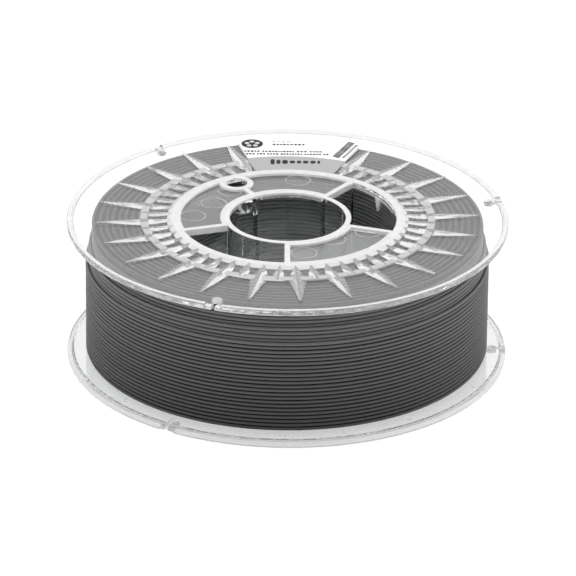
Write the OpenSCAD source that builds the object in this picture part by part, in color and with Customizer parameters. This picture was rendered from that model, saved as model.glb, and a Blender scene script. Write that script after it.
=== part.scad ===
// Clear two-part filament spool, wound full of 1.75 mm filament.
// Millimetres, +Z up. The origin is the centre of the lower face that the spool rests on,
// and angles are measured in plan from +X, anticlockwise seen from above.

/* [Overall] */
// Outer diameter of both flanges
flange_d = 200; // [196:1:206]
// Width of the spool from face to face
spool_w = 67; // [60:1:80]

/* [Flange] */
// Height of the rim bead, along the axis
rim_h = 2.8; // [2.4:0.2:2.8]
// Width of the rim bead, along the radius
rim_w = 2.4; // [2.4:0.2:3.4]
// Depth of the flange face below the rim
recess = 1.2; // [1.2:0.1:1.6]
// Thickness of the flange disc
web_t = 2; // [2:0.2:3.2]
// Diameter of each hole that holds the end of the strand
clip_hole_d = 4.4; // [3:0.2:5]

/* [Hub] */
// Outer diameter of the drum that the strand is wound on
drum_d = 104.4; // [102:0.2:105]
// Wall thickness of the drum
drum_wall = 3; // [2:0.2:3.4]
// Diameter of the spindle bore
bore_d = 52.5; // [50:0.5:54]
// Wall thickness of the bore sleeve
sleeve_wall = 2.5; // [2:0.25:3]
// Thickness of the ribs between sleeve and drum
rib_t = 2.5; // [2:0.25:3]
// Thickness of the panels that close the pockets
panel_t = 1.8; // [1.2:0.2:2.4]
// Diameter of the drive hole
drive_hole_d = 10; // [8:0.5:10]
// Depth of the boss around the drive hole
drive_boss_h = 12; // [8:1:16]

/* [Flange pattern] */
// Height of the rays and prisms above the flange face
relief_h = 0.9; // [0.6:0.1:1]
// Radius at the points of the long rays
ray_tip_r = 86; // [80:1:90]
// Outer radius of the ring of prisms
prism_out_r = 66; // [64:1:68]
// Width of a ray at its foot
ray_w = 7; // [5:0.5:8]

/* [Strand] */
// Diameter of the filament
strand_d = 1.75; // [1.6:0.05:1.8]
// Outer diameter of the full winding
winding_d = 183; // [160:1:186]
// How far the last layers stop short of the upper flange
short_end = 14; // [2:1:18]

/* [Hidden] */

$fn = 180;

clear_plastic = [0.86, 0.88, 0.90, 0.45];

// radii
flange_r = flange_d / 2;
rim_in_r = flange_r - rim_w;
drum_r = drum_d / 2;
drum_in_r = drum_r - drum_wall;
bore_r = bore_d / 2;
sleeve_r = bore_r + sleeve_wall;
winding_r = winding_d / 2;

// heights, from each moulding's outer plane
mid_z = spool_w / 2;
web_top = recess + web_t;
edge = 0.5;

// the disc's inner face falls at 45 degrees to the rim, and the two meet at this radius
rim_fall = (web_top - rim_h) / 2;
disc_r = rim_in_r - rim_fall;
disc_edge_z = rim_h + rim_fall;

// the drums of the two mouldings lap over each other at the middle
lap_h = 4;
lap_r = drum_in_r + drum_wall / 2;

// angles of the ribs, anticlockwise from the front one and round to it again: a fifth of a
// turn apart, but the one with the drive hole stands back a little
rib_angles = [270, 342, 414, 482.5, 558, 630];
sectors = len(rib_angles) - 1;
upper_closed = [0, 2, 3];
lower_closed = [1, 4];

// the drive hole stands on one rib
drive_a = rib_angles[3];
drive_boss_r = drive_hole_d / 2 + 2.8;
drive_at_r = drum_in_r - drive_hole_d / 2 - 0.2;

// holes and rim slots for the end of the strand, about a third of a turn apart,
// and turned a little on the lower flange
clip_angles = [12, 129, 251];
lower_clip_turn = -13;
clip_at_r = 93.5;
clip_slot_w = 1.8;
clip_notch_w = 7.6;
clip_notch_h = 1.2;

// rays and prisms, left out where the label lies
ray_step = 15;
ray_first_a = 4;
ray_in_r = 66;
prism_step = 7.5;
prism_tip_r = 54;
prism_foot_r = 62;
prism_w = 5.4;
band_h = 0.6;
label_a0 = 67.5;
label_a1 = 106;
label_in_r = 54.5;
label_out_r = 95;
label_t = 0.2;

// winding
layer_d = strand_d * 0.825;
short_step = 2.4;

// a pie slice between two angles, as tall as h
module wedge(a0, a1, r, h) {
    steps = ceil((a1 - a0) / 15);
    linear_extrude(h)
        polygon(concat([[0, 0]], [
            for (i = [0:steps])
                let (a = a0 + (a1 - a0) * i / steps) r * [cos(a), sin(a)]
        ]));
}

module ring(r_in, r_out, z0, z1) {
    translate([0, 0, z0])
        difference() {
            cylinder(r = r_out, h = z1 - z0);
            translate([0, 0, -1])
                cylinder(r = r_in, h = z1 - z0 + 2);
        }
}

// puts a shape that is drawn for the lower moulding on the upper one
module upper() {
    translate([0, 0, spool_w])
        mirror([0, 0, 1])
            children();
}

// disc between the drum and the rim, its outer face set back below the rim's
module flange(clip_turn) {
    difference() {
        rotate_extrude()
            polygon([
                [drum_r, recess],
                [disc_r, recess],
                [disc_r, disc_edge_z],
                [disc_r - rim_fall, web_top],
                [drum_r, web_top]
            ]);
        strand_clips(clip_turn);
    }
}

// thick bead around the disc
module rim(clip_turn) {
    difference() {
        rotate_extrude()
            polygon([
                [disc_r, recess],
                [rim_in_r, recess - edge],
                [rim_in_r, edge],
                [rim_in_r + edge, 0],
                [flange_r - edge, 0],
                [flange_r, edge],
                [flange_r, rim_h - edge],
                [flange_r - edge, rim_h],
                [rim_in_r, rim_h],
                [disc_r, disc_edge_z]
            ]);
        strand_clips(clip_turn);
    }
}

module strand_clips(clip_turn) {
    for (a = clip_angles)
        rotate([0, 0, a + clip_turn])
            strand_clip();
}

// the hole, slot and rim notch that one strand end is pushed through
module strand_clip() {
    through = web_top + 2;
    translate([clip_at_r, 0, -1])
        cylinder(d = clip_hole_d, h = through, $fn = 48);
    translate([clip_at_r, -clip_slot_w / 2, -1])
        cube([flange_r, clip_slot_w, through]);
    translate([rim_in_r - edge, -clip_notch_w / 2, -1])
        cube([flange_r, clip_notch_w, clip_notch_h + 1]);
}

// a raised dart, pointed at r_tip and as wide as w at r_foot, with a ridge along its middle
module dart(r_tip, r_foot, w, h) {
    flat = 0.15;
    points = [
        [r_foot, -w / 2, 0], [r_foot, w / 2, 0], [r_tip, flat, 0], [r_tip, -flat, 0],
        [r_foot, -flat, h], [r_foot, flat, h]
    ];
    faces = [
        [0, 1, 2, 3], [0, 4, 5, 1], [1, 5, 2], [5, 4, 3, 2], [4, 0, 3]
    ];
    // drawn pointing outwards, so a dart that points inwards has its faces turned over
    polyhedron(points, r_tip > r_foot ? [for (f = faces) [for (i = [len(f) - 1:-1:0]) f[i]]] : faces);
}

module on_flange_face() {
    translate([0, 0, recess])
        mirror([0, 0, 1])
            children();
}

function in_label(a) = a > label_a0 && a < label_a1;

module rays(skip_label) {
    on_flange_face()
        for (i = [0:23]) {
            a = ray_first_a + i * ray_step;
            if (!(skip_label && in_label(a)))
                rotate([0, 0, a])
                    dart(ray_tip_r, ray_in_r + 0.2, ray_w, relief_h);
        }
}

// a low band with prisms that point inwards from it
module prism_ring(skip_label) {
    on_flange_face() {
        for (i = [0:47]) {
            a = ray_first_a + i * prism_step;
            if (!(skip_label && in_label(a)))
                rotate([0, 0, a])
                    dart(prism_tip_r, prism_foot_r - 0.1, prism_w, relief_h);
        }
        difference() {
            ring(prism_foot_r, prism_out_r, 0, band_h);
            if (skip_label)
                translate([0, 0, -1])
                    wedge(label_a0 - 0.5, label_a1 + 0.5, flange_d, band_h + 2);
        }
    }
}

// drum and collar in one tube, lapped at its inner end
module hub_drum(is_outer_lap) {
    ring(drum_in_r, drum_r, 0, mid_z - lap_h / 2);
    if (is_outer_lap)
        ring(lap_r, drum_r, mid_z - lap_h / 2, mid_z + lap_h / 2);
    else
        ring(drum_in_r, lap_r, mid_z - lap_h / 2, mid_z + lap_h / 2);
}

module bore_sleeve() {
    ring(bore_r, sleeve_r, 0, mid_z);
}

// one rib per sector edge, stopping at the boss where the drive hole is
module ribs() {
    for (i = [0:sectors - 1])
        difference() {
            intersection() {
                ring(sleeve_r, drum_in_r, 0, mid_z);
                rotate([0, 0, rib_angles[i]])
                    translate([0, -rib_t / 2, -1])
                        cube([drum_r, rib_t, mid_z + 2]);
            }
            at_drive_hole()
                translate([0, 0, -1])
                    cylinder(r = drive_boss_r, h = drive_boss_h + 1);
        }
}

module at_drive_hole() {
    rotate([0, 0, drive_a])
        translate([drive_at_r, 0, 0])
            children();
}

// thin panels that close the listed sectors at the outer face
module pocket_panels(closed) {
    for (i = closed)
        difference() {
            intersection() {
                ring(sleeve_r, drum_in_r, recess, recess + panel_t);
                rotate([0, 0, rib_angles[i]])
                    wedge(0, rib_angles[i + 1] - rib_angles[i], drum_r * 2, mid_z);
            }
            for (k = [0, 1])
                rotate([0, 0, rib_angles[i + k]])
                    translate([0, -rib_t / 2, 0])
                        cube([drum_r, rib_t, mid_z]);
            at_drive_hole()
                cylinder(r = drive_boss_r, h = mid_z);
        }
}

module drive_boss() {
    difference() {
        intersection() {
            at_drive_hole()
                cylinder(r = drive_boss_r, h = drive_boss_h);
            ring(sleeve_r, drum_in_r, 0, mid_z);
        }
        at_drive_hole()
            translate([0, 0, -1])
                cylinder(d = drive_hole_d, h = drive_boss_h + 2);
    }
}

// narrow ledge inside the drum beside a rib, with a pointed tab for the start of the strand
module strand_anchor() {
    ledge_w = 2;
    ledge_z = 1.6;
    ledge_t = 0.8;
    ledge_a0 = 3;
    ledge_a1 = 52.5;
    tab_a = 32;
    tab_w = 3.9;
    tab_h = 6;
    tab_t = 1.2;
    tab_z = ledge_z + ledge_t;
    intersection() {
        ring(drum_in_r - ledge_w, drum_in_r, ledge_z, tab_z);
        wedge(ledge_a0, ledge_a1, drum_d, mid_z);
    }
    intersection() {
        ring(drum_in_r - tab_t, drum_in_r, tab_z, tab_z + tab_h);
        rotate([0, 0, tab_a])
            translate([drum_in_r - drum_wall, 0, tab_z])
                rotate([90, 0, 90])
                    linear_extrude(drum_wall + 1)
                        polygon([[-tab_w / 2, -0.1], [tab_w / 2, -0.1], [0, tab_h]]);
    }
}

// the wound strand as one ring, with the last layers ending short of the upper flange
module winding() {
    z0 = web_top;
    z1 = spool_w - web_top;
    rotate_extrude()
        polygon([
            [drum_r, z0],
            [winding_r, z0],
            [winding_r, z1 - short_end],
            [winding_r - layer_d, z1 - short_end],
            [winding_r - layer_d, z1 - short_end / 2],
            [winding_r - short_step, z1 - short_end / 2],
            [winding_r - short_step, z1],
            [drum_r, z1]
        ]);
}

module label_sheet() {
    translate([0, 0, spool_w - recess])
        intersection() {
            ring(label_in_r, label_out_r, 0, label_t);
            wedge(label_a0, label_a1, flange_d, label_t);
        }
}

module lower_flange() { color(clear_plastic) flange(lower_clip_turn); }
module lower_rim() { color(clear_plastic) rim(lower_clip_turn); }
module lower_rays() { color(clear_plastic) rays(false); }
module lower_prism_ring() { color(clear_plastic) prism_ring(false); }
module lower_hub_drum() { color(clear_plastic) hub_drum(false); }
module lower_bore_sleeve() { color(clear_plastic) bore_sleeve(); }
module lower_ribs() { color(clear_plastic) ribs(); }
module lower_pocket_panels() { color(clear_plastic) pocket_panels(lower_closed); }
module lower_drive_boss() { color(clear_plastic) drive_boss(); }
module upper_flange() { color(clear_plastic) upper() flange(0); }
module upper_rim() { color(clear_plastic) upper() rim(0); }
module upper_rays() { color(clear_plastic) upper() rays(true); }
module upper_prism_ring() { color(clear_plastic) upper() prism_ring(true); }
module upper_hub_drum() { color(clear_plastic) upper() hub_drum(true); }
module upper_bore_sleeve() { color(clear_plastic) upper() bore_sleeve(); }
module upper_ribs() { color(clear_plastic) upper() ribs(); }
module upper_pocket_panels() { color(clear_plastic) upper() pocket_panels(upper_closed); }
module upper_drive_boss() { color(clear_plastic) upper() drive_boss(); }
module upper_strand_anchor() { color(clear_plastic) upper() strand_anchor(); }
module filament_winding() { color("dimgray") winding(); }
module label() { color("white") label_sheet(); }

lower_flange();
lower_rim();
lower_rays();
lower_prism_ring();
lower_hub_drum();
lower_bore_sleeve();
lower_ribs();
lower_pocket_panels();
lower_drive_boss();
upper_flange();
upper_rim();
upper_rays();
upper_prism_ring();
upper_hub_drum();
upper_bore_sleeve();
upper_ribs();
upper_pocket_panels();
upper_drive_boss();
upper_strand_anchor();
filament_winding();
label();
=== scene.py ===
"""Looks of a clear filament spool, wound full of dark grey filament, lying flat on a pale floor.

The two clear mouldings are each one watertight mesh, turned from a rounded profile and joined
with their ribs, panels, boss and raised pattern. The filament is swept along real turns. All
lengths below are in millimetres and become metres when a mesh is made. A moulding is drawn as
the lower one, with its outer face at height 0, and the upper one is turned over afterwards.
"""
import math
import random

import bpy
import numpy as np
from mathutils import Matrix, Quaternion, Vector


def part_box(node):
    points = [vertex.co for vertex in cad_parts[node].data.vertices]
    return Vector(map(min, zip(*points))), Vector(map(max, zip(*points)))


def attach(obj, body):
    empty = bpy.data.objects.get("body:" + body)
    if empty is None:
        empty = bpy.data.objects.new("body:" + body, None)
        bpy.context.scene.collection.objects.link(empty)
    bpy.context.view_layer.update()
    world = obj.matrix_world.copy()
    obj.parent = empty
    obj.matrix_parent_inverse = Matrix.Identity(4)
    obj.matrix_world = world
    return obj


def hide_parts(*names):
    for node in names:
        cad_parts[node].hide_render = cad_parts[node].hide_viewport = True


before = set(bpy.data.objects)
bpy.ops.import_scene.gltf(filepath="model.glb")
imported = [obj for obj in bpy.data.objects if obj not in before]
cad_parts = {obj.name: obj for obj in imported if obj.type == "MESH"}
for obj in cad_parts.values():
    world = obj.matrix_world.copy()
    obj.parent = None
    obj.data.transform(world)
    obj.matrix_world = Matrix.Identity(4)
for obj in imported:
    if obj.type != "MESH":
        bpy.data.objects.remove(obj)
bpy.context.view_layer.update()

MM = 0.001


def span(node):
    """Lowest and highest corner of a CAD node, in millimetres."""
    low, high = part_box(node)
    return np.array(low) / MM, np.array(high) / MM


# ---------------------------------------------------------------- sizes taken from the frame

SPOOL_W = float(span("upper_rim")[1][2])
FLANGE_R = float(span("upper_rim")[1][0])
DRUM_R = float(span("upper_hub_drum")[1][0])
SLEEVE_R = float(span("upper_bore_sleeve")[1][0])
WIND_R = float(span("filament_winding")[1][0])
WIND_Z0 = float(span("filament_winding")[0][2])
WIND_Z1 = float(span("filament_winding")[1][2])
LABEL_Z0 = float(span("label")[0][2])
LABEL_Z1 = float(span("label")[1][2])

# sizes of a moulding: walls and levels, where a level is a depth below the outer face
SEAM = SPOOL_W / 2 - 0.02
RECESS = SPOOL_W - LABEL_Z0
WEB_TOP = WIND_Z0
RIM_W = 2.4
RIM_H = 2.8
BORE_R = 26.25
DRUM_IN_R = DRUM_R - 3.0
COLLAR_BASE_R = DRUM_R + 2.5
RIB_T = 2.5
PANEL_T = 1.8
LET_IN = 0.8       # how far ribs, panels and the anchor run into the walls beside them

# the lips beside a closed pocket, and how far down the walls carry the painted glow
COLLAR_IN_R = DRUM_IN_R - 0.8
LIP_R = 30.5
GLOW_LOW = RECESS + PANEL_T
BORE_GLOW_LOW = 1.1

# ribs, where the last is the first one turn later, and the pockets that are closed
RIB_ANGLES = (270, 342, 414, 482.5, 558, 630)
UPPER_CLOSED = (0, 2, 3)
LOWER_CLOSED = (1, 4)
POCKET_MID_R = 40

# the strand anchor inside the upper drum
LEDGE_W = 0.9
LEDGE_A0, LEDGE_A1 = 12, 53.3
LEDGE_Z0, LEDGE_Z1 = 1.6, 2.4
TAB_A = 32
TAB_HALF_W = 1.95
TAB_REACH = 1.2
TAB_Z0, TAB_Z1 = 2.3, 8.4

# the drive boss
DRIVE_A = RIB_ANGLES[3]
DRIVE_HOLE_R = 5.0
DRIVE_BOSS_R = 7.8
DRIVE_BOSS_H = 12.0
DRIVE_AT_R = DRUM_IN_R - DRIVE_HOLE_R - 0.2

# the slotted holes near the rim that hold the strand's end
CLIP_ANGLES = (12, 129, 251)
LOWER_CLIP_TURN = -13
CLIP_AT_R = 93.5
CLIP_HOLE_R = 2.2
CLIP_COLLAR_R = 2.5
CLIP_SLOT_HALF = 0.9
NOTCH_HALF = 3.8
NOTCH_DEPTH = 0.95

# the raised pattern: long rays with a tooth between each two, and the low band that joins them
RAY_COUNT = 24
RAY_FIRST_A = 4
RAY_STEP = 360 / RAY_COUNT
RAY_TIP_R = 87
BAND_R0, BAND_R1 = 63.3, 66.7
BAND_H = 0.7
RIDGE_H = 1.15
RIDGE_FOOT = (DRUM_R + 0.6, 0.6, 1.08, 0.15)       # as a station of a ridge

# the label
LABEL_A0, LABEL_A1 = 67.5, 106.0
LABEL_IN_R, LABEL_OUT_R = 55.1, 95.0

# the strand: the outer layers stop short of the upper flange, and only their ends show
STRAND_R = 0.875
STRAND_SIDES = 8
PITCH = 1.88       # height of one turn
LAYERS = 27
OUTER = LAYERS - 1
TURNS = 32
OUTER_TURNS = 24
SECOND_TURNS, SECOND_SKIP = 6, 21
THIRD_TURNS, THIRD_SKIP = 7, 24
STEPS = 200        # stations of a full turn in the outer layers
INNER_STEPS = 128
END_STEPS = 160
TOUCH = 0.06       # slack between the winding and a flange
CORE_STEP_Z = (44.9, 51.3)


# ---------------------------------------------------------------- mesh helpers

def new_object(name, verts, faces, smooth_angle=None):
    """A mesh object from millimetre points. Edges sharper than smooth_angle degrees stay sharp."""
    mesh = bpy.data.meshes.new(name)
    mesh.from_pydata((np.asarray(verts, float) * MM).tolist(), [], faces)
    mesh.validate()
    mesh.update()
    obj = bpy.data.objects.new(name, mesh)
    bpy.context.scene.collection.objects.link(obj)
    if smooth_angle is not None:
        smooth(obj, smooth_angle)
    return obj


def smooth(obj, angle):
    """Smooth shading, with edges sharper than the angle left sharp."""
    obj.data.polygons.foreach_set("use_smooth", [True] * len(obj.data.polygons))
    obj.data.set_sharp_from_angle(angle=math.radians(angle))
    obj.data.update()


def rounded(corners, steps=4):
    """A closed outline with each corner (x, y, radius) turned into an arc."""
    out = []
    count = len(corners)
    for i, (x, y, radius) in enumerate(corners):
        p = np.array([x, y], float)
        a = np.array(corners[i - 1][:2], float) - p
        b = np.array(corners[(i + 1) % count][:2], float) - p
        if radius <= 0:
            out.append(p)
            continue
        len_a, len_b = np.linalg.norm(a), np.linalg.norm(b)
        a, b = a / len_a, b / len_b
        half = math.acos(np.clip(np.dot(a, b), -1, 1)) / 2
        reach = min(radius / math.tan(half), 0.48 * len_a, 0.48 * len_b)
        radius = reach * math.tan(half)
        middle = (a + b) / np.linalg.norm(a + b)
        centre = p + middle * radius / math.sin(half)
        start, end = p + a * reach - centre, p + b * reach - centre
        sweep = math.pi - 2 * half
        for k in range(steps + 1):
            t = k / steps
            mix = (math.sin((1 - t) * sweep) * start + math.sin(t * sweep) * end) / math.sin(sweep)
            out.append(centre + mix)
    return out


def turned(name, outline, segments=240, centre=(0, 0)):
    """A closed ring: the outline, as (radius, height) points, turned about a vertical line."""
    outline = np.asarray(outline, float)
    n = len(outline)
    verts = []
    for s in range(segments):
        a = 2 * math.pi * s / segments
        ring = np.empty((n, 3))
        ring[:, 0] = outline[:, 0] * math.cos(a) + centre[0]
        ring[:, 1] = outline[:, 0] * math.sin(a) + centre[1]
        ring[:, 2] = outline[:, 1]
        verts.append(ring)
    faces = []
    for s in range(segments):
        t = (s + 1) % segments
        for i in range(n):
            j = (i + 1) % n
            faces.append((s * n + i, t * n + i, t * n + j, s * n + j))
    return new_object(name, np.concatenate(verts), outward(faces, outline))


def outward(faces, outline):
    """Turns the faces over when the outline runs clockwise, so that normals point outwards."""
    x, y = outline[:, 0], outline[:, 1]
    area = np.dot(x, np.roll(y, -1)) - np.dot(y, np.roll(x, -1))
    return faces if area > 0 else [f[::-1] for f in faces]


def prism(name, outline, *levels):
    """A closed upright solid over a plan outline, with a loop of edges at each level."""
    outline = np.asarray(outline, float)
    n = len(outline)
    x, y = outline[:, 0], outline[:, 1]
    if np.dot(x, np.roll(y, -1)) - np.dot(y, np.roll(x, -1)) < 0:
        outline = outline[::-1]
    verts = np.concatenate([np.column_stack([outline, np.full(n, z)]) for z in levels])
    faces = [tuple(range(n))[::-1], tuple(range(n * (len(levels) - 1), n * len(levels)))]
    for k in range(len(levels) - 1):
        for i in range(n):
            j = (i + 1) % n
            faces.append((k * n + i, k * n + j, (k + 1) * n + j, (k + 1) * n + i))
    return new_object(name, verts, faces)


def polar(r, degrees):
    """A plan point from a radius and an angle."""
    a = math.radians(degrees)
    return np.array([r * math.cos(a), r * math.sin(a)])


def circle(centre, r, count):
    """The plan outline of a round piece."""
    return [centre + polar(r, k * 360 / count) for k in range(count)]


def sector(r0, r1, a0, a1, step=2.0):
    """The plan outline of a piece of a ring."""
    count = max(2, int(math.ceil((a1 - a0) / step)))
    angles = [a0 + (a1 - a0) * i / count for i in range(count + 1)]
    return [polar(r1, a) for a in angles] + [polar(r0, a) for a in reversed(angles)]


def boolean(obj, other, operation):
    """Joins or cuts obj with other, and removes other."""
    mod = obj.modifiers.new("join", "BOOLEAN")
    mod.object = other
    mod.operation = operation
    mod.solver = "MANIFOLD"
    apply_modifiers(obj)
    bpy.data.objects.remove(other)


def apply_modifiers(obj):
    """Replaces the mesh with what its modifiers make of it."""
    deps = bpy.context.evaluated_depsgraph_get()
    deps.update()
    mesh = bpy.data.meshes.new_from_object(obj.evaluated_get(deps))
    obj.modifiers.clear()
    obj.data = mesh


def joined(name, parts):
    """One object from separate closed parts that don't overlap."""
    verts, faces, base = [], [], 0
    for part in parts:
        co = np.array([v.co for v in part.data.vertices]) / MM
        verts.append(co)
        faces += [tuple(base + i for i in p.vertices) for p in part.data.polygons]
        base += len(co)
        bpy.data.objects.remove(part)
    return new_object(name, np.concatenate(verts), faces)


def mirror_to_top(obj):
    """Turns a shape drawn for the lower moulding into one for the upper moulding."""
    mesh = obj.data
    co = np.empty(len(mesh.vertices) * 3)
    mesh.vertices.foreach_get("co", co)
    co = co.reshape(-1, 3)
    co[:, 2] = SPOOL_W * MM - co[:, 2]
    mesh.vertices.foreach_set("co", co.ravel())
    mesh.flip_normals()
    mesh.update()


# ---------------------------------------------------------------- clear mouldings

def flange_and_drum():
    """Rim bead, web, drum wall and collar of one moulding, as one turned solid."""
    rim_in = FLANGE_R - RIM_W
    return turned("flange", rounded([
        (DRUM_IN_R, 0, 0.3),
        (DRUM_R + 0.2, 0, 0.3),
        (COLLAR_BASE_R, RECESS, 0.25),
        (rim_in - 0.4, RECESS, 0.5),
        (rim_in, 0, 0.6),
        (FLANGE_R, 0, 0.9),
        (FLANGE_R, RIM_H, 0.9),
        (rim_in, RIM_H, 0.3),
        (rim_in - 0.6, WEB_TOP, 0.3),
        (DRUM_R, WEB_TOP, 0.3),
        (DRUM_R, SEAM, 0),
        (DRUM_IN_R, SEAM, 0),
        (DRUM_IN_R, GLOW_LOW, 0),
    ], 8))


def sleeve():
    """The wall round the spindle bore."""
    return turned("sleeve", rounded([
        (BORE_R, 0, 0.3),
        (SLEEVE_R, 0, 0.3),
        (SLEEVE_R, SEAM, 0),
        (BORE_R, SEAM, 0),
        (BORE_R, BORE_GLOW_LOW, 0),
    ], 6))


def rib(a):
    """One full-height rib, let into the sleeve and the drum wall."""
    return prism("rib", bar(a, SLEEVE_R - LET_IN, DRUM_IN_R + LET_IN, RIB_T / 2), 0.1, GLOW_LOW, SEAM)


def bar(a, r0, r1, half):
    """The plan outline of a straight bar along a radius."""
    along, across = polar(1, a), polar(1, a + 90)
    return [along * r + across * w for r, w in ((r0, -half), (r1, -half), (r1, half), (r0, half))]


def panel(a0, a1):
    """The panel that closes one pocket, and the lips that the sleeve and collar have beside it."""
    plate = sector(SLEEVE_R - LET_IN, DRUM_IN_R + LET_IN, a0, a1)
    return (prism("panel", plate, RECESS, RECESS + PANEL_T),
            prism("lip", sector(SLEEVE_R - 0.5, LIP_R, a0, a1), 0.12, RECESS + 0.3),
            prism("lip", sector(COLLAR_IN_R, DRUM_IN_R + 0.6, a0, a1), 0.14, RECESS + 0.3))


def ejector_rings():
    """Faint raised circles and arcs that the ejector pins left on the closed panels."""
    z0, z1 = RECESS - 0.2, RECESS + 0.3
    inner, crest, outer = 5.55, 5.7, 5.85
    section = [(inner, z0 + 0.1), (crest, z0), (outer, z0 + 0.1), (outer, z1), (inner, z1)]
    rings = []
    for r, a, facing, reach in ((43, 84, 0, 180), (40, 131, 252, 80), (37.5, 154, 0, 180),
                                (42.9, 177, 0, 180), (37.4, 281.5, 0, 180), (30, 313, 313, 110),
                                (38.6, 339, 249, 98)):
        centre = polar(r, a)
        if reach == 180:
            rings.append(turned("ring", section, 48, centre))
        else:
            arc = sector(inner, outer, facing - reach, facing + reach, 8)
            rings.append(prism("ring", [centre + p for p in arc], z0, z1))
    return joined("rings", rings)


def strand_anchor():
    """A narrow ledge inside the drum beside a rib, with a pointed tab below it."""
    outer = DRUM_IN_R + LET_IN
    outline = sector(DRUM_IN_R - LEDGE_W, outer, LEDGE_A0, LEDGE_A1)
    ledge = prism("ledge", outline, LEDGE_Z0, LEDGE_Z1)
    along, across = polar(1, TAB_A), polar(1, TAB_A + 90)
    corners = ((-TAB_HALF_W, TAB_Z0), (TAB_HALF_W, TAB_Z0), (0, TAB_Z1))
    verts = [(*(along * r + across * w), z) for r in (DRUM_IN_R - TAB_REACH, outer) for w, z in corners]
    faces = [(0, 2, 1), (3, 4, 5), (0, 1, 4, 3), (1, 2, 5, 4), (2, 0, 3, 5)]
    return ledge, new_object("tab", verts, [f[::-1] for f in faces])


def moulded_marks():
    """Small raised rings and ticks on the inner face of the lower flange, near its rim."""
    at_r, z0, z1 = 93.4, WEB_TOP - 0.3, WEB_TOP + 0.2
    section = [(0.9, z0), (1.35, z0), (1.35, z1), (0.9, z1)]
    marks = [turned("mark", section, 24, polar(at_r, a)) for a in (220, 262, 286, 306, 333)]
    for k in (0, 1, 3, 4, 5):
        tick = bar(268.5 + 1.25 * k, at_r - 0.9, at_r + 0.9, 0.45)
        marks.append(prism("mark", tick, z0, z1))
    return joined("marks", marks)


def drive_boss():
    """The round boss on one rib, before its hole is cut."""
    core_r = DRIVE_HOLE_R - 1.5
    return turned("boss", rounded([
        (core_r, 0.05, 0),
        (DRIVE_BOSS_R, 0.05, 0.4),
        (DRIVE_BOSS_R, DRIVE_BOSS_H, 0),
        (core_r, DRIVE_BOSS_H, 0),
    ]), 64, polar(DRIVE_AT_R, DRIVE_A))


def ridge(a, stations):
    """A raised ridge along a radius. Each station is (radius, half width, height, half flat)."""
    foot, base = RECESS + 0.3, RECESS - 0.05
    rows = []
    for r, half, height, flat in stations:
        top = RECESS - height
        rows += [(r, -half, foot), (r, half, foot), (r, half, base),
                 (r, flat, top), (r, -flat, top), (r, -half, base)]
    along, across = polar(1, a), polar(1, a + 90)
    verts = [(*(along * r + across * w), h) for r, w, h in rows]
    sides = 6
    last = sides * (len(stations) - 1)
    faces = [tuple(range(sides)), tuple(range(last, last + sides))[::-1]]
    for k in range(len(stations) - 1):
        for i in range(sides):
            j = (i + 1) % sides
            faces.append((k * sides + i, (k + 1) * sides + i, (k + 1) * sides + j, k * sides + j))
    return new_object("ridge", verts, faces)


def in_label(a):
    """Whether an angle lies under the label."""
    return LABEL_A0 < a < LABEL_A1


def relief(is_upper):
    """The long rays, the short teeth between them, and the low band that joins them."""
    ray = [RIDGE_FOOT, (60.5, 2.9, RIDGE_H, 0.4), (BAND_R1, 3.8, RIDGE_H - 0.05, 0.4),
           (RAY_TIP_R, 0.45, 0.35, 0.2)]
    tooth = [RIDGE_FOOT, (60.6, 2.6, RIDGE_H, 0.4), (BAND_R1 - 0.5, 2.2, BAND_H + 0.15, 0.5)]
    ridges = []
    for i in range(RAY_COUNT):
        a = RAY_FIRST_A + i * RAY_STEP
        for ridge_a, stations in ((a, ray), (a + RAY_STEP / 2, tooth)):
            if not (is_upper and in_label(ridge_a)):
                ridges.append(ridge(ridge_a, stations))
    if is_upper:
        outline = sector(BAND_R0, BAND_R1, LABEL_A1 + 0.5, LABEL_A0 - 0.5 + 360)
        band = prism("band", outline, RECESS - BAND_H, RECESS + 0.3)
    else:
        band = turned("band", [(BAND_R0, RECESS - BAND_H), (BAND_R1, RECESS - BAND_H),
                               (BAND_R1, RECESS + 0.3), (BAND_R0, RECESS + 0.3)])
    return joined("ridges", ridges), band


def clip_collar(a):
    """A low round wall about the hole of a clip, as high as the rim."""
    return prism("collar", circle(polar(CLIP_AT_R, a), CLIP_COLLAR_R, 32), 0.06, RECESS + 0.3)


def clip_cutter(a):
    """Hole, rim slot and rim notch for one end of the strand."""
    slot = bar(a, CLIP_AT_R, FLANGE_R + 2, CLIP_SLOT_HALF)
    notch = bar(a, FLANGE_R - RIM_W - 0.8, FLANGE_R + 2.2, NOTCH_HALF)
    return (prism("hole", circle(polar(CLIP_AT_R, a), CLIP_HOLE_R, 32), -1, WEB_TOP + 1),
            prism("slot", slot, -1.1, WEB_TOP + 1.1),
            prism("notch", notch, -1.2, NOTCH_DEPTH))


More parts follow.
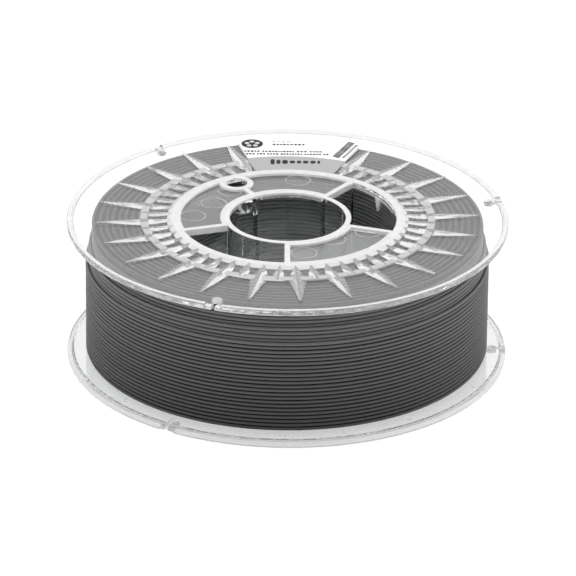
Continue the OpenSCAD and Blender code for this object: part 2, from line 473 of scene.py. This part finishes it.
def moulding(name, is_upper):
    """One clear moulding, as one watertight mesh."""
    closed = UPPER_CLOSED if is_upper else LOWER_CLOSED
    turn = 0 if is_upper else LOWER_CLIP_TURN
    body = flange_and_drum()
    ridges, band = relief(is_upper)
    for other in (band, ridges, sleeve()):
        boolean(body, other, "UNION")
    boolean(body, joined("ribs", [rib(a) for a in RIB_ANGLES[:-1]]), "UNION")
    for i in closed:
        for other in panel(*RIB_ANGLES[i:i + 2]):
            boolean(body, other, "UNION")
    for other in (ejector_rings(), *strand_anchor()) if is_upper else (moulded_marks(),):
        boolean(body, other, "UNION")
    boolean(body, drive_boss(), "UNION")
    hole = circle(polar(DRIVE_AT_R, DRIVE_A), DRIVE_HOLE_R, 48)
    boolean(body, prism("hole", hole, -1, DRIVE_BOSS_H + 1), "DIFFERENCE")
    boolean(body, joined("collars", [clip_collar(a + turn) for a in CLIP_ANGLES]), "UNION")
    for a in CLIP_ANGLES:
        for cutter in clip_cutter(a + turn):
            boolean(body, cutter, "DIFFERENCE")
    if is_upper:
        mirror_to_top(body)
    body.name = body.data.name = name
    smooth(body, 14)
    curved = [abs(p.normal.z) < 0.9995 for p in body.data.polygons]
    body.data.polygons.foreach_set("use_smooth", curved)
    return body


# ---------------------------------------------------------------- filament

def strand(centres, radials, closed=False):
    """A round strand swept along centre points, each with the unit radial direction there."""
    count, sides = len(centres), STRAND_SIDES
    phi = np.arange(sides) * 2 * math.pi / sides
    up = np.array([0.0, 0.0, 1.0])
    section = (np.cos(phi)[:, None, None] * radials[None] + np.sin(phi)[:, None, None] * up) * STRAND_R
    verts = (centres[None] + section).transpose(1, 0, 2).reshape(-1, 3)
    spans = count if closed else count - 1
    s, k = np.meshgrid(np.arange(spans), np.arange(sides), indexing="ij")
    s2, k2 = (s + 1) % count, (k + 1) % sides
    quads = np.stack([s * sides + k, s2 * sides + k, s2 * sides + k2, s * sides + k2], -1)
    return verts, quads.reshape(-1, 4)


def helix(r, z0, turns, steps, wobble, sway):
    """Centre points and radial directions of turns wound upwards from the back."""
    t = np.arange(int(turns * steps) + 1) / steps
    a = np.radians(90 + 360 * t)
    z = z0 + PITCH * t + sway(t)
    rr = r + wobble(t)
    centres = np.column_stack([rr * np.cos(a), rr * np.sin(a), z])
    radials = np.column_stack([np.cos(a), np.sin(a), np.zeros_like(a)])
    return centres, radials


def layer_radius(i):
    """Centre radius of a layer, from the drum outwards."""
    first = DRUM_R + STRAND_R + 0.05
    last = WIND_R - STRAND_R - 0.03
    return first + (last - first) * i / (LAYERS - 1)


def capped(quads, count):
    """The faces of an open strand with count stations, and a face across each end."""
    faces = quads.tolist()
    faces.append(list(range(STRAND_SIDES)))
    faces.append(list(range((count - 1) * STRAND_SIDES, count * STRAND_SIDES))[::-1])
    return faces


def wound_layer(name, i, turns, skip=0, steps=STEPS):
    """One layer of real turns, above skip empty ones. Odd layers lie half a pitch higher, between
    the even ones. The strand wanders a little in radius and in height."""
    rng = random.Random(100 + i)
    start = WIND_Z0 + STRAND_R + TOUCH + (skip + (i % 2) / 2) * PITCH
    jitter = np.array([rng.uniform(-0.12, 0.03) for _ in range(turns * 3)])
    drift = np.array([rng.uniform(-0.06, 0.06) for _ in range(turns * 4)])

    def wobble(t):
        return np.interp(t, np.arange(len(jitter)) / 3, jitter)

    def sway(t):
        return np.interp(t, np.arange(len(drift)) / 4, drift)

    centres, radials = helix(layer_radius(i), start, turns - 1, steps, wobble, sway)
    verts, quads = strand(centres, radials)
    return new_object(name, verts, capped(quads, len(centres)), 60)


def paint_last_turn(obj, material):
    """The last turn of a layer has no neighbour above it, so its upper side gets no painted groove
    shade.
    """
    obj.data.materials.append(material)
    index = np.zeros(len(obj.data.polygons), int)
    index[-(STEPS * STRAND_SIDES + 2):] = 1
    obj.data.polygons.foreach_set("material_index", index)


def end_turns(name, is_upper, layers):
    """The outermost turn of each layer against one flange, as closed rings."""
    all_verts, all_faces, base = [], [], 0
    rng = random.Random(7 if is_upper else 8)
    a = np.arange(END_STEPS) * 2 * math.pi / END_STEPS
    radials = np.column_stack([np.cos(a), np.sin(a), np.zeros_like(a)])
    for i in layers:
        is_near = i % 2 == 0
        if is_upper:
            z = WIND_Z1 - STRAND_R - (0.3 if is_near else 1.24)
        else:
            z = WIND_Z0 + STRAND_R + (TOUCH if is_near else 1.0)
        r = layer_radius(i) + rng.uniform(-0.08, 0.08)
        centres = radials * r + np.array([0, 0, z])
        verts, quads = strand(centres, radials, closed=True)
        all_verts.append(verts)
        all_faces += (quads + base).tolist()
        base += len(verts)
    return new_object(name, np.concatenate(all_verts), all_faces, 60)


def winding_core():
    """The mass of hidden turns inside the winding, coloured near black as painted shade. It steps in at
    the two heights where an outer layer ends, just below that layer's last turn."""
    r0 = layer_radius(0) + 0.2
    r1, r2, r3 = (layer_radius(OUTER - k) - 0.3 for k in range(3))
    z0, (z1, z2), z3 = WIND_Z0 + 1.2, CORE_STEP_Z, WIND_Z1 - 1.9
    return turned("winding_core", [(r0, z0), (r1, z0), (r1, z1), (r2, z1), (r2, z2), (r3, z2), (r3, z3),
                                   (r0, z3)], 160)


# ---------------------------------------------------------------- label

def label_sheet():
    """The white film itself."""
    z0, z1 = LABEL_Z0 + 0.01, LABEL_Z1
    return prism("label_sheet", sector(LABEL_IN_R, LABEL_OUT_R, LABEL_A0 + 0.15, LABEL_A1 - 0.15),
                 z0, z1)


def pill(x, y, width, height, steps=5):
    """The outline of a bar with round ends, lying along its longer side."""
    centre, turn = np.array([x, y]), 0 if width > height else 90
    half, end_r = max(abs(width - height) / 2, 0.01), min(width, height) / 2
    out = []
    for side, first in ((1, -90), (-1, 90)):
        for k in range(steps + 1):
            out.append(centre + polar(side * half, turn) + polar(end_r, turn + first + 180 * k / steps))
    return out


def dashes(rng, x0, x1, y, height, shortest, longest, gap):
    """A row of small dashes in place of a line of print."""
    out, x = [], x0
    while x < x1 - shortest:
        width = min(rng.uniform(shortest, longest), x1 - x)
        out.append(pill(x + width / 2, y, width, height * rng.uniform(0.8, 1), 3))
        x += width + (gap if rng.random() > 0.16 else gap * 3.2)
    return out


def printed(name, outlines, level=0):
    """Thin print on the label, in one of a few levels so that no two lie in one plane."""
    z = LABEL_Z1 + 0.008 * level
    return joined(name, [prism("print", o, z + 0.004, z + 0.012) for o in outlines])


def word_bars(rng):
    """A row of bars with round ends on the grey band, in place of a word."""
    bars, x = [], -8.2
    while x < 13.6:
        height = rng.choice((3.4, 4.6, 6.0))
        width = rng.choice((1.2, 1.9, 2.6))
        bars.append(pill(x + width / 2, 63.2, width, height))
        x += width + 0.8
    return bars


def stripe_block(rng):
    """A block of stripes along the label's right edge, and a row of short ticks beside it."""
    along, across = np.array([-0.409, -0.913]), np.array([0.818, -0.576])
    corner = np.array([28.0, 87.2])

    def patch(u, length, v, width):
        ends = ((0, 0), (1, 0), (1, 1), (0, 1))
        return [corner + along * (u + i * length) + across * (v + j * width) for i, j in ends]

    stripes, at = [], 0.0
    while at < 18.4:
        width = rng.choice((0.8, 1.1, 1.5))
        stripes.append(patch(at, width, 0, 3.6))
        at += width + rng.choice((0.2, 0.3, 0.4))
    at = 1.0
    while at < 17.5:
        stripes.append(patch(at, 0.8, 4.5, 1.5))
        at += 1.4
    return stripes


def label_print():
    """Grey band, round mark, rows of dashes, a row of bars and a block of stripes, and painted shade as
    thin lines along the label's side edges.
    """
    rng = random.Random(31)
    band = [sector(LABEL_IN_R + 0.05, 69.8, LABEL_A0 + 0.2, LABEL_A1 - 0.2)]
    # painted shade: thin lines along the label's side edges, out to the edge of the winding, drawn with
    # the faint print
    edges = [sector(LABEL_IN_R + 0.1, 87, a - 0.16, a + 0.16)
             for a in (LABEL_A0 + 0.4, LABEL_A1 - 0.4)]
    mark = np.array([-16.9, 83.8])
    disc = [circle(mark, 5.05, 36)]
    petals = [circle(mark + polar(2.5, 20 + 72 * k), 1.15, 15) for k in range(5)]
    faint = dashes(rng, -7.8, 1.1, 86.5, 1.9, 0.5, 1.0, 0.4)
    dark = dashes(rng, -7.4, 9.2, 83.2, 2.1, 0.9, 1.4, 0.5)
    dark += dashes(rng, -20.4, 15.5, 75.2, 2.0, 0.7, 1.4, 0.4)
    dark += dashes(rng, -19.6, 18.6, 72.2, 2.0, 0.7, 1.5, 0.3)
    dark += word_bars(rng) + stripe_block(rng)
    return (printed("print_band", band), printed("print_faint_and_edge_shade", faint + edges, 1),
            printed("print_dark", disc + dark, 2), printed("print_light", petals, 3))


# ---------------------------------------------------------------- materials

def node_material(name):
    """A new material, with its node tree and its Principled shader."""
    mat = bpy.data.materials.new(name)
    mat.use_nodes = True
    tree = mat.node_tree
    shader = tree.nodes["Principled BSDF"]
    return mat, tree, shader


def noise_bump(tree, shader, scale, strength, distance):
    """A fine bump from noise over the surface. Returns the noise, for other inputs to follow."""
    coords = tree.nodes.new("ShaderNodeTexCoord")
    noise = tree.nodes.new("ShaderNodeTexNoise")
    noise.inputs["Scale"].default_value = scale
    noise.inputs["Detail"].default_value = 3.0
    tree.links.new(coords.outputs["Object"], noise.inputs["Vector"])
    bump = tree.nodes.new("ShaderNodeBump")
    bump.inputs["Strength"].default_value = strength
    bump.inputs["Distance"].default_value = distance
    tree.links.new(noise.outputs["Fac"], bump.inputs["Height"])
    tree.links.new(bump.outputs["Normal"], shader.inputs["Normal"])
    return noise


def clear_material(name, transmission, roughness, bump, tone=0.97):
    """Clear polystyrene. Its roughness wanders a little where it has a bump."""
    mat, tree, shader = node_material(name)
    shader.inputs["Base Color"].default_value = (tone, tone * 1.01, tone * 1.01, 1)
    shader.inputs["Transmission Weight"].default_value = transmission
    shader.inputs["IOR"].default_value = 1.57
    shader.inputs["Roughness"].default_value = roughness
    if bump:
        noise = noise_bump(tree, shader, 420, bump, 0.0002)
        vary(tree, noise, shader.inputs["Roughness"], roughness * 0.7, roughness * 1.3)
    return mat


def vary(tree, noise, socket, low, high):
    """Lets a socket wander between two values with the noise."""
    ramp = tree.nodes.new("ShaderNodeMapRange")
    ramp.inputs["From Min"].default_value = 0.3
    ramp.inputs["From Max"].default_value = 0.7
    ramp.inputs["To Min"].default_value = low
    ramp.inputs["To Max"].default_value = high
    tree.links.new(noise.outputs["Fac"], ramp.inputs["Value"])
    tree.links.new(ramp.outputs["Result"], socket)


def glow_edge_material():
    """Painted glow and highlight: edges that emit a faint glow and are coloured milky white, in place
    of the light that the clear wall carries along to its edges.
    """
    mat, tree, shader = node_material("clear_plastic_painted_glow")
    shader.inputs["Emission Color"].default_value = (1, 1, 1, 1)
    shader.inputs["Emission Strength"].default_value = 0.12
    shader.inputs["Transmission Weight"].default_value = 0.12
    shader.inputs["IOR"].default_value = 1.57
    noise = noise_bump(tree, shader, 300, 0.2, 0.0002)
    vary(tree, noise, shader.inputs["Roughness"], 0.1, 0.25)
    tint = tree.nodes.new("ShaderNodeMix")
    tint.data_type = "RGBA"
    tint.inputs["A"].default_value = (0.5, 0.5, 0.5, 1)
    tint.inputs["B"].default_value = (0.74, 0.74, 0.74, 1)
    tree.links.new(noise.outputs["Fac"], tint.inputs["Factor"])
    tree.links.new(tint.outputs["Result"], shader.inputs["Base Color"])
    return mat


def position(tree):
    """Distance from the spool's axis and height, as two outputs, in metres."""
    coords = tree.nodes.new("ShaderNodeTexCoord")
    split = tree.nodes.new("ShaderNodeSeparateXYZ")
    flat = tree.nodes.new("ShaderNodeVectorMath")
    flat.operation = "MULTIPLY"
    flat.inputs[1].default_value = (1, 1, 0)
    length = tree.nodes.new("ShaderNodeVectorMath")
    length.operation = "LENGTH"
    tree.links.new(coords.outputs["Object"], split.inputs["Vector"])
    tree.links.new(coords.outputs["Object"], flat.inputs[0])
    tree.links.new(flat.outputs["Vector"], length.inputs[0])
    return length.outputs["Value"], split.outputs["Z"]


def mapped(tree, value, from_min, from_max, to_min, to_max):
    """A value moved from one range to another, and held within it."""
    node = tree.nodes.new("ShaderNodeMapRange")
    sockets = ("From Min", "From Max", "To Min", "To Max")
    for name, number in zip(sockets, (from_min, from_max, to_min, to_max)):
        node.inputs[name].default_value = number
    tree.links.new(value, node.inputs["Value"])
    return node.outputs["Result"]


def times(tree, a, b):
    """The product of two outputs."""
    node = tree.nodes.new("ShaderNodeMath")
    node.operation = "MULTIPLY"
    tree.links.new(a, node.inputs[0])
    tree.links.new(b, node.inputs[1])
    return node.outputs["Value"]


def filament_material(name, dark, light, groove_r, crest_r, shade_by_height=False):
    """Matt dark filament with painted shade at the radius of its grooves and a painted highlight at
    that of its crests. When shaded by height, it also gets painted light at the top and painted shade
    towards the lower flange."""
    mat, tree, shader, colour = filament_base(name, dark, light)
    r, z = position(tree)
    tone = mapped(tree, r, groove_r * MM, crest_r * MM, GROOVE_TONE, CREST_TONE)
    if shade_by_height:
        height = mapped(tree, z, WIND_Z0 * MM, WIND_Z1 * MM, LOW_TONE, HIGH_TONE)
        tone = times(tree, tone, height)
    shade(tree, shader, colour, tone)
    return mat


def top_turns_material(name, dark, light):
    """Matt dark filament, with painted shade that deepens with the depth below the upper flange, and
    painted light on the turns' upper sides.
    """
    mat, tree, shader, colour = filament_base(name, dark, light)
    top = WIND_Z1 - 0.3
    z = position(tree)[1]
    shade(tree, shader, colour, mapped(tree, z, (top - 0.7) * MM, top * MM, UNDER_TONE, CREST_TONE))
    return mat


def filament_base(name, dark, light):
    """Matt filament that wanders between two greys, with its colour left to take painted shade and
    light.
    """
    mat, tree, shader = node_material(name)
    shader.inputs["IOR"].default_value = 1.45
    noise = noise_bump(tree, shader, 1500, 0.25, 0.0001)
    vary(tree, noise, shader.inputs["Roughness"], 0.45, 0.6)
    tint = tree.nodes.new("ShaderNodeMix")
    tint.data_type = "RGBA"
    tint.inputs["A"].default_value = (dark, dark, dark * 1.02, 1)
    tint.inputs["B"].default_value = (light, light, light * 1.02, 1)
    tree.links.new(noise.outputs["Fac"], tint.inputs["Factor"])
    return mat, tree, shader, tint.outputs["Result"]


def shade(tree, shader, colour, tone):
    """Sets the shader's colour to a colour times a tone."""
    scale = tree.nodes.new("ShaderNodeVectorMath")
    scale.operation = "SCALE"
    tree.links.new(colour, scale.inputs[0])
    tree.links.new(tone, scale.inputs["Scale"])
    tree.links.new(scale.outputs["Vector"], shader.inputs["Base Color"])


def core_material():
    """Painted shade: near black, deep in the winding, where hardly any light comes."""
    mat, tree, shader = node_material("filament_core")
    shader.inputs["Base Color"].default_value = (0.02, 0.02, 0.02, 1)
    shader.inputs["Roughness"].default_value = 0.7
    noise_bump(tree, shader, 800, 0.2, 0.0001)
    return mat


def paper_material(name, level):
    """Matt printed film of one grey."""
    mat, tree, shader = node_material(name)
    shader.inputs["Specular IOR Level"].default_value = 0.1
    noise = noise_bump(tree, shader, 2500, 0.1, 0.00005)
    vary(tree, noise, shader.inputs["Roughness"], 0.5, 0.6)
    tint = tree.nodes.new("ShaderNodeMix")
    tint.data_type = "RGBA"
    tint.inputs["A"].default_value = (level * 0.97, level * 0.97, level * 0.97, 1)
    tint.inputs["B"].default_value = (level * 1.03, level * 1.03, level * 1.03, 1)
    tree.links.new(noise.outputs["Fac"], tint.inputs["Factor"])
    tree.links.new(tint.outputs["Result"], shader.inputs["Base Color"])
    return mat


# how much painted shade and light scale the filament's tone: in grooves and on crests, by height, and
# under the flange
GROOVE_TONE, CREST_TONE = 0.22, 1.25
LOW_TONE, HIGH_TONE = 0.36, 1.1
UNDER_TONE = 0.1

CLEAR = clear_material("clear_plastic", 1.0, 0.0, 0)
RIM = clear_material("clear_plastic_rim", 0.85, 0.06, 0.02, 0.9)
# the lower rim is a darker copy of the rim: painted shade where it sits on the floor
SHADED_LOW_RIM = clear_material("clear_plastic_low_rim", 0.85, 0.06, 0.02, 0.8)
HAZY = clear_material("clear_plastic_hazy", 0.94, 0.1, 0.03)
RELIEF = clear_material("clear_plastic_relief", 0.83, 0.16, 0.1)
FROSTED = clear_material("clear_plastic_frosted", 0.58, 0.2, 0.2)
# painted glow and highlight for the edges of the clear walls
GLOW_EDGE = glow_edge_material()
FILAMENT_TOP = top_turns_material("filament_top", 0.095, 0.125)
# against the lower flange the turns, a darker copy of the filament, only get painted shade that grows
# darker towards the axis
FILAMENT_BOTTOM = filament_material("filament_bottom", 0.075, 0.105, 1, 200)
# the outer layers get painted shade in their grooves, painted highlights on their crests, and painted
# shade growing towards the lower flange
FILAMENT_OUTER, FILAMENT_SECOND, FILAMENT_THIRD, FILAMENT_LAST = (
    filament_material(name, 0.085, 0.115, crest_r - groove, crest_r, True)
    for name, crest_r, groove in (("filament_outer", layer_radius(OUTER) + STRAND_R, 0.55),
                                  ("filament_second", layer_radius(OUTER - 1) + STRAND_R, 2.0),
                                  ("filament_third", layer_radius(OUTER - 2) + STRAND_R, 2.0),
                                  ("filament_last_turn", WIND_R, 2.5)))
# the first layer, seen from the bore, is a lighter copy of the filament, which is painted light, with
# painted shade in its grooves
INNER_CREST_R = layer_radius(0) - STRAND_R
FILAMENT_INNER = filament_material("filament_inner", 0.26, 0.34, INNER_CREST_R + 0.6, INNER_CREST_R)
CORE = core_material()
LABEL_WHITE = paper_material("label_white", 0.92)
PRINT_GREY = paper_material("print_grey", 0.42)
PRINT_FAINT_AND_EDGE_SHADE = paper_material("print_faint_and_edge_shade", 0.4)
PRINT_DARK = paper_material("print_dark", 0.03)
PRINT_LIGHT = paper_material("print_light", 0.6)


def in_sectors(degrees, sectors):
    """Whether each angle lies in one of the sectors between ribs, which include their ribs."""
    margin = math.degrees(RIB_T * 0.55 / POCKET_MID_R)
    inside = np.zeros(len(degrees), bool)
    for k in sectors:
        first, last = RIB_ANGLES[k] - margin, RIB_ANGLES[k + 1] + margin
        inside |= ((degrees - first) % 360) < last - first
    return inside


# the places of a moulding's materials, in the order in which it gets them
IN_CLEAR, IN_GLOW_EDGE, IN_FROSTED, IN_RELIEF, IN_RIM, IN_HAZY = range(6)


def paint_moulding(obj, is_upper):
    """Painted glow and highlight, a glowing milky white, on edges where light leaves the walls, and
    duller raised detail. Each face gets its material from its centre and normal, and a later rule
    overrules an earlier one."""
    mesh = obj.data
    mesh.materials.clear()
    for mat in (CLEAR, GLOW_EDGE, FROSTED, RELIEF, RIM if is_upper else SHADED_LOW_RIM, HAZY):
        mesh.materials.append(mat)
    count = len(mesh.polygons)
    centre, normal = np.empty(count * 3), np.empty(count * 3)
    mesh.polygons.foreach_get("center", centre)
    mesh.polygons.foreach_get("normal", normal)
    centre, normal = centre.reshape(-1, 3) / MM, normal.reshape(-1, 3)
    depth = SPOOL_W - centre[:, 2] if is_upper else centre[:, 2]
    facing = normal[:, 2] if is_upper else -normal[:, 2]
    r = np.hypot(centre[:, 0], centre[:, 1])
    degrees = np.degrees(np.arctan2(centre[:, 1], centre[:, 0]))
    radial = (normal[:, 0] * centre[:, 0] + normal[:, 1] * centre[:, 1]) / np.maximum(r, 1)
    closed = in_sectors(degrees, UPPER_CLOSED if is_upper else LOWER_CLOSED)
    index = np.full(count, IN_CLEAR)
    hub = r < DRUM_R + 0.1
    upright = np.abs(facing) < 0.2
    above_web = depth < RECESS - 0.02

    # painted glow and highlight on the hub's ends, the collar's slope and the walls beside a closed
    # pocket
    glow_low = np.where(r < BORE_R + 0.1, BORE_GLOW_LOW, GLOW_LOW)
    index[hub & (depth < 0.35) & (facing > 0.1)] = IN_GLOW_EDGE
    index[(r > DRUM_R - 0.1) & (r < COLLAR_BASE_R + 0.1) & above_web] = IN_GLOW_EDGE
    index[hub & upright & closed & (depth < glow_low)] = IN_GLOW_EDGE

    # the closed panels with their rings and lips; the lips get painted glow
    at_web = np.abs(depth - RECESS) < 0.02
    on_panel = (r > LIP_R + 0.1) & (r < COLLAR_IN_R - 0.1) & (np.abs(depth - RECESS + 0.12) < 0.1)
    index[hub & closed & (r > SLEEVE_R) & (facing > 0.9) & at_web] = IN_HAZY
    index[closed & on_panel] = IN_FROSTED
    index[closed & (r < DRUM_IN_R) & (r > COLLAR_IN_R - 0.1) & above_web] = IN_GLOW_EDGE

    # painted glow on the strand anchor, and the drive boss's inner end
    if is_upper:
        at_anchor = (degrees % 360 > 2) & (degrees % 360 < 52)
        on_anchor = (r > DRUM_IN_R - TAB_REACH - 0.05) & (r < DRUM_IN_R - 0.02) & at_anchor
        index[on_anchor & (depth > LEDGE_Z0 - 0.1) & (depth < TAB_Z1 + 0.1)] = IN_GLOW_EDGE
    boss_x, boss_y = polar(DRIVE_AT_R, DRIVE_A)
    in_boss = np.hypot(centre[:, 0] - boss_x, centre[:, 1] - boss_y) < DRIVE_BOSS_R
    index[in_boss & (np.abs(depth - DRIVE_BOSS_H) < 0.02)] = IN_RELIEF

    # the raised pattern and the rim
    at_band_top = np.abs(depth - (RECESS - BAND_H)) < 0.02
    index[(r > COLLAR_BASE_R + 0.1) & (r < RAY_TIP_R + 1) & above_web] = IN_RELIEF
    index[(r > BAND_R0) & (r < BAND_R1 + 0.05) & at_band_top & (facing > 0.9)] = IN_FROSTED
    index[(r > BAND_R1 - 0.1) & (r < BAND_R1 + 0.05) & (radial > 0.9) & (depth < RECESS)] = IN_FROSTED
    index[r > FLANGE_R - RIM_W - 0.7] = IN_RIM
    # painted highlight: the rim's flat top face glows milky white
    index[(r > FLANGE_R - RIM_W) & (facing > 0.95)] = IN_GLOW_EDGE

    # the clips, with painted glow and highlight inside the holes on the -Y side
    for a in CLIP_ANGLES:
        a += 0 if is_upper else LOWER_CLIP_TURN
        along, across = polar(1, a), polar(1, a + 90)
        u, v = centre[:, :2] @ along, centre[:, :2] @ across
        in_hole = np.hypot(u - CLIP_AT_R, v) < CLIP_HOLE_R + 0.05
        in_slot = (u > CLIP_AT_R) & (np.abs(v) < CLIP_SLOT_HALF + 0.05)
        index[in_slot & upright] = IN_FROSTED
        index[in_hole & upright] = IN_GLOW_EDGE if along[1] < 0 else IN_FROSTED
    mesh.polygons.foreach_set("material_index", index)
    mesh.update()


# ---------------------------------------------------------------- build the object

def add_piece(obj, nodes, material=None):
    """Hands a piece over with the CAD nodes that it stands for."""
    if material:
        obj.data.materials.append(material)
    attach(obj, "root")
    if nodes:
        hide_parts(*nodes)


upper_nodes = [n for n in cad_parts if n.startswith("upper_")]
lower_nodes = [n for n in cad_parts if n.startswith("lower_")]

upper = moulding("upper_moulding", True)
paint_moulding(upper, True)
add_piece(upper, upper_nodes)

lower = moulding("lower_moulding", False)
paint_moulding(lower, False)
add_piece(lower, lower_nodes)

outer_layer = wound_layer("strand_outer_layer", OUTER, OUTER_TURNS)
add_piece(outer_layer, ["filament_winding"], FILAMENT_OUTER)
paint_last_turn(outer_layer, FILAMENT_LAST)
second_layer = wound_layer("strand_second_layer", OUTER - 1, SECOND_TURNS, SECOND_SKIP)
add_piece(second_layer, [], FILAMENT_SECOND)
third_layer = wound_layer("strand_third_layer", OUTER - 2, THIRD_TURNS, THIRD_SKIP)
add_piece(third_layer, [], FILAMENT_THIRD)
first_layer = wound_layer("strand_first_layer", 0, TURNS, steps=INNER_STEPS)
add_piece(first_layer, [], FILAMENT_INNER)
ends_top = end_turns("strand_upper_ends", True, range(1, OUTER - 1))
add_piece(ends_top, [], FILAMENT_TOP)
ends_bottom = end_turns("strand_lower_ends", False, range(1, OUTER))
add_piece(ends_bottom, [], FILAMENT_BOTTOM)
core = winding_core()
add_piece(core, [], CORE)

sheet = label_sheet()
add_piece(sheet, ["label"], LABEL_WHITE)
for obj, material in zip(label_print(), (PRINT_GREY, PRINT_FAINT_AND_EDGE_SHADE, PRINT_DARK, PRINT_LIGHT)):
    add_piece(obj, [], material)


# ---------------------------------------------------------------- floor, light and camera

FLOOR_HALF = 4000
FLOOR_TONE, FLOOR_GLOW = 0.5, 0.65
LIGHT_BASE, LIGHT_SIDES, LIGHT_RIGHT, LIGHT_ABOVE, LIGHT_BACK = 0.62, 1.15, 0.1, 0.7, 0.3
CAMERA_TARGET = Vector((0.00045, 0, 0.03131))
CAMERA_DISTANCE, CAMERA_ELEVATION, CAMERA_ROLL = 2.55536, 0.43824, 0.01
CAMERA_LENS, CAMERA_SENSOR = 351.38, 36


def make_floor():
    """A pale floor, lit from within like a light table, so that the shadow on it stays faint."""
    corners = [(x * FLOOR_HALF, y * FLOOR_HALF, 0) for x, y in ((-1, -1), (1, -1), (1, 1), (-1, 1))]
    floor = new_object("floor", corners, [(0, 1, 2, 3)])
    mat, tree, shader = node_material("floor")
    shader.inputs["Base Color"].default_value = (FLOOR_TONE, FLOOR_TONE, FLOOR_TONE, 1)
    shader.inputs["Roughness"].default_value = 0.9
    shader.inputs["Specular IOR Level"].default_value = 0.0
    shader.inputs["Emission Color"].default_value = (1, 1, 1, 1)
    shader.inputs["Emission Strength"].default_value = FLOOR_GLOW
    floor.data.materials.append(mat)


def make_world():
    """Soft light from all round: brightest at both sides and above, dimmest behind the camera."""
    world = bpy.data.worlds.new("studio")
    world.use_nodes = True
    tree = world.node_tree
    coords = tree.nodes.new("ShaderNodeTexCoord")
    split = tree.nodes.new("ShaderNodeSeparateXYZ")
    tree.links.new(coords.outputs["Generated"], split.inputs["Vector"])

    def term(a, b, c):
        """a * b + c, where each is a number or a node's output."""
        node = tree.nodes.new("ShaderNodeMath")
        node.operation = "MULTIPLY_ADD"
        for socket, value in zip(node.inputs, (a, b, c)):
            if isinstance(value, float):
                socket.default_value = value
            else:
                tree.links.new(value, socket)
        return node.outputs["Value"]

    x, y, z = split.outputs["X"], split.outputs["Y"], split.outputs["Z"]
    side = term(x, LIGHT_SIDES, LIGHT_RIGHT)
    above = term(z, LIGHT_ABOVE, 0.0)
    level = term(x, side, LIGHT_BASE)
    level = term(z, above, level)
    level = term(y, LIGHT_BACK, level)
    background = tree.nodes["Background"]
    background.inputs["Color"].default_value = (1, 1, 1, 1)
    tree.links.new(level, background.inputs["Strength"])
    bpy.context.scene.world = world


def make_camera():
    """Long lens on the -Y side, looking down at 25 degrees, level to about half a degree."""
    data = bpy.data.cameras.new("camera")
    data.sensor_width = CAMERA_SENSOR
    data.lens = CAMERA_LENS
    camera = bpy.data.objects.new("camera", data)
    bpy.context.scene.collection.objects.link(camera)
    away = Vector((0, -math.cos(CAMERA_ELEVATION), math.sin(CAMERA_ELEVATION)))
    camera.location = CAMERA_TARGET + away * CAMERA_DISTANCE
    camera.rotation_mode = "XYZ"
    level = (-away).to_track_quat("-Z", "Y")
    camera.rotation_euler = (level @ Quaternion((0, 0, 1), CAMERA_ROLL)).to_euler()
    bpy.context.scene.camera = camera


make_floor()
make_world()
make_camera()
bpy.context.scene.view_settings.view_transform = "Standard"
scene = bpy.context.scene
scene.cycles.max_bounces = 32
scene.cycles.transmission_bounces = 32
scene.cycles.glossy_bounces = 24
